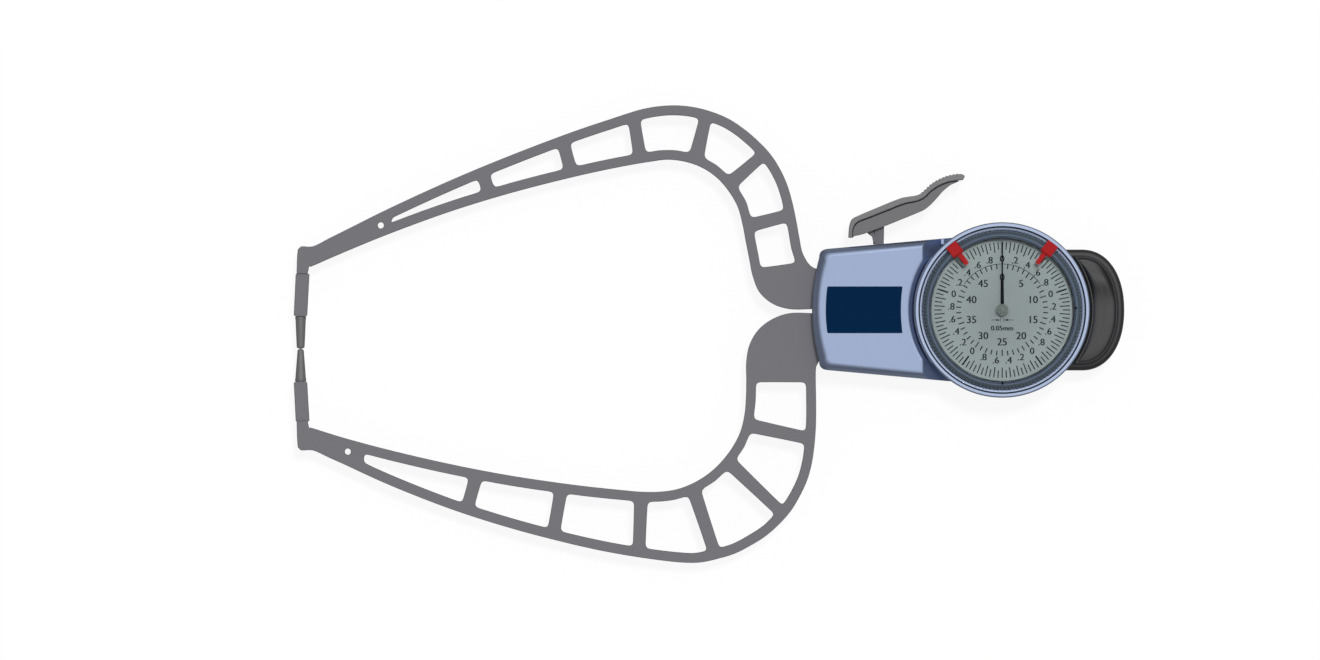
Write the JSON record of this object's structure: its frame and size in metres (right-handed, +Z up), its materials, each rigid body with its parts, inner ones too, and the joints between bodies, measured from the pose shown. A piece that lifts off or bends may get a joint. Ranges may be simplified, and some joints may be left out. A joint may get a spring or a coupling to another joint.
{
  "type": "dial caliper gauge",
  "caption": "Outside measuring gauge with two long skeleton arms, tapered contacts, a dial with turning bezel and markers, and a finger lever that opens the upper arm.",
  "frame": {"origin": "where the dial's axis meets the flat back of the housing, on which the gauge lies", "axes": "+X from the contacts towards the rear grip, +Y towards the finger lever, +Z up and out of the dial"},
  "size_m": [0.312, 0.1718, 0.0316],
  "materials": {
    "housing_paint": "satin",
    "arm_metal": "satin",
    "contact_steel": "satin",
    "grip_plastic": "matte",
    "plate_blue": "satin",
    "lever_plastic": "matte",
    "plain_steel": "satin",
    "brass": "satin",
    "bronze": "satin",
    "seal_rubber": "matte",
    "slip_plastic": "matte",
    "dial_face": "matte",
    "hand_black": "satin",
    "knurl_metal": "satin",
    "ring_metal": "satin",
    "lens_clear": "gloss",
    "marker_red": "satin"
  },
  "bodies": {
    "housing_body": {"rear_shell": "housing_paint", "shell_gasket": "seal_rubber", "front_shell": "housing_paint", "rear_grip": "grip_plastic", "name_plate": "plate_blue", "neck_screw_1": "plain_steel", "neck_screw_2": "plain_steel", "head_screw_1": "plain_steel", "head_screw_2": "plain_steel", "grip_screw_1": "plain_steel", "grip_screw_2": "plain_steel", "bezel_slip_ring": "slip_plastic", "fixed_arm": "arm_metal", "fixed_arm_screw_1": "plain_steel", "fixed_arm_screw_2": "plain_steel", "fixed_contact_sleeve": "arm_metal", "fixed_contact": "contact_steel", "pivot_shaft": "plain_steel", "rear_washer": "bronze", "front_washer": "bronze", "stop_pin": "plain_steel", "return_spring": "plain_steel", "rear_movement_plate": "brass", "front_movement_plate": "brass", "plate_pillar_1": "brass", "plate_pillar_2": "brass", "plate_pillar_3": "brass", "movement_screw_1": "plain_steel", "movement_screw_2": "plain_steel", "movement_screw_3": "plain_steel", "hair_spring": "plain_steel"},
    "upper_arm_body": {"moving_arm": "arm_metal", "moving_contact_sleeve": "arm_metal", "moving_contact": "contact_steel", "pivot_bush": "bronze", "sector_gear": "brass", "sector_screw_1": "plain_steel", "sector_screw_2": "plain_steel", "finger_lever": "lever_plastic", "lever_pad": "lever_plastic", "lever_pin": "plain_steel"},
    "first_arbor_body": {"first_arbor": "plain_steel", "first_pinion": "plain_steel", "first_wheel": "brass", "counter_wheel": "brass"},
    "short_hand_body": {"short_hand_pipe": "brass", "short_hand_wheel": "brass", "short_hand": "hand_black"},
    "long_hand_body": {"centre_pinion_arbor": "plain_steel", "long_hand": "hand_black", "hand_cap": "contact_steel"},
    "bezel_body": {"bezel_ring": "ring_metal", "knurled_ring": "knurl_metal", "lens_ring": "ring_metal", "lens_seal": "seal_rubber", "lens": "lens_clear", "dial_plate": "dial_face"},
    "left_marker_body": {"left_marker": "marker_red"},
    "right_marker_body": {"right_marker": "marker_red"}
  },
  "joints": [
    {"name": "arm_pivot", "type": "hinge", "parent": "housing_body", "child": "upper_arm_body", "pos_m": [-0.0628, 0, 0.012], "axis": [0, 0, -1], "range_deg": [0, 14.29], "stiffness_Nm_per_rad": 0.32, "springref_deg": -32.09, "deforming": ["return_spring"]},
    {"name": "first_arbor_turn", "type": "hinge", "parent": "housing_body", "child": "first_arbor_body", "pos_m": [-0.01625, 0, 0.017], "axis": [0, 0, -1], "range_deg": [-301, 1], "deforming": ["hair_spring"]},
    {"name": "short_hand_turn", "type": "hinge", "parent": "housing_body", "child": "short_hand_body", "pos_m": [0, 0, 0.0258], "axis": [0, 0, -1], "range_deg": [-1, 361]},
    {"name": "long_hand_turn", "type": "hinge", "parent": "housing_body", "child": "long_hand_body", "pos_m": [0, 0, 0.0266], "axis": [0, 0, -1], "range_deg": [-10, 3610]},
    {"name": "bezel_turn", "type": "hinge", "parent": "housing_body", "child": "bezel_body", "pos_m": [0, 0, 0.024], "axis": [0, 0, 1], "continuous": true},
    {"name": "left_marker_turn", "type": "hinge", "parent": "bezel_body", "child": "left_marker_body", "pos_m": [0, 0, 0.03], "axis": [0, 0, 1], "range_deg": [-31, 150]},
    {"name": "right_marker_turn", "type": "hinge", "parent": "bezel_body", "child": "right_marker_body", "pos_m": [0, 0, 0.03], "axis": [0, 0, 1], "range_deg": [-150, 31]}
  ],
  "couplings": [
    {"joint": "first_arbor_turn", "follows": "arm_pivot", "ratio": -21},
    {"joint": "short_hand_turn", "follows": "arm_pivot", "ratio": 25.2},
    {"joint": "long_hand_turn", "follows": "arm_pivot", "ratio": 252}
  ]
}
